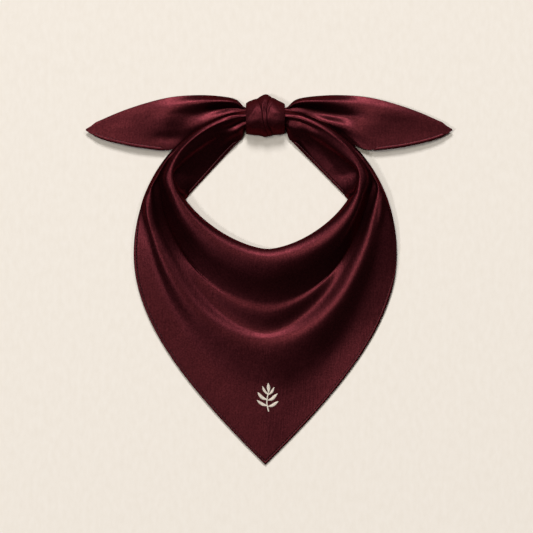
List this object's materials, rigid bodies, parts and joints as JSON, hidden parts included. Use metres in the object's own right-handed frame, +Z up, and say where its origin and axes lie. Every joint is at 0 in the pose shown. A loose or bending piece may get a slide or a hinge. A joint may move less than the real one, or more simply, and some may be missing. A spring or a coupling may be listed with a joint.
{
  "type": "satin neckerchief",
  "caption": "Satin neck scarf: a triangle of cloth worn folded round the neck, its long corners tied in a small knot, laid flat with its folds and point to the front.",
  "frame": {"origin": "on the surface it lies on, below the middle of the laid scarf's box", "axes": "+Z up off the surface, +Y from the point to the knot, +X to the right as seen from above"},
  "size_m": [0.293, 0.2947, 0.02],
  "materials": {
    "satin": "burgundy satin, soft sheen",
    "satin_hem": "burgundy satin, turned and stitched hem"
  },
  "bodies": {
    "root": {"front_drape": "satin", "neck_left": "satin", "neck_right": "satin", "tail_left": "satin", "tail_right": "satin", "knot_wrap_left": "satin", "knot_wrap_right": "satin", "knot_cross": "satin", "knot_core": "satin", "hem_front_left": "satin_hem", "hem_front_right": "satin_hem", "hem_neck_left": "satin_hem", "hem_neck_right": "satin_hem", "hem_tail_left": "satin_hem", "hem_tail_right": "satin_hem"}
  },
  "joints": []
}
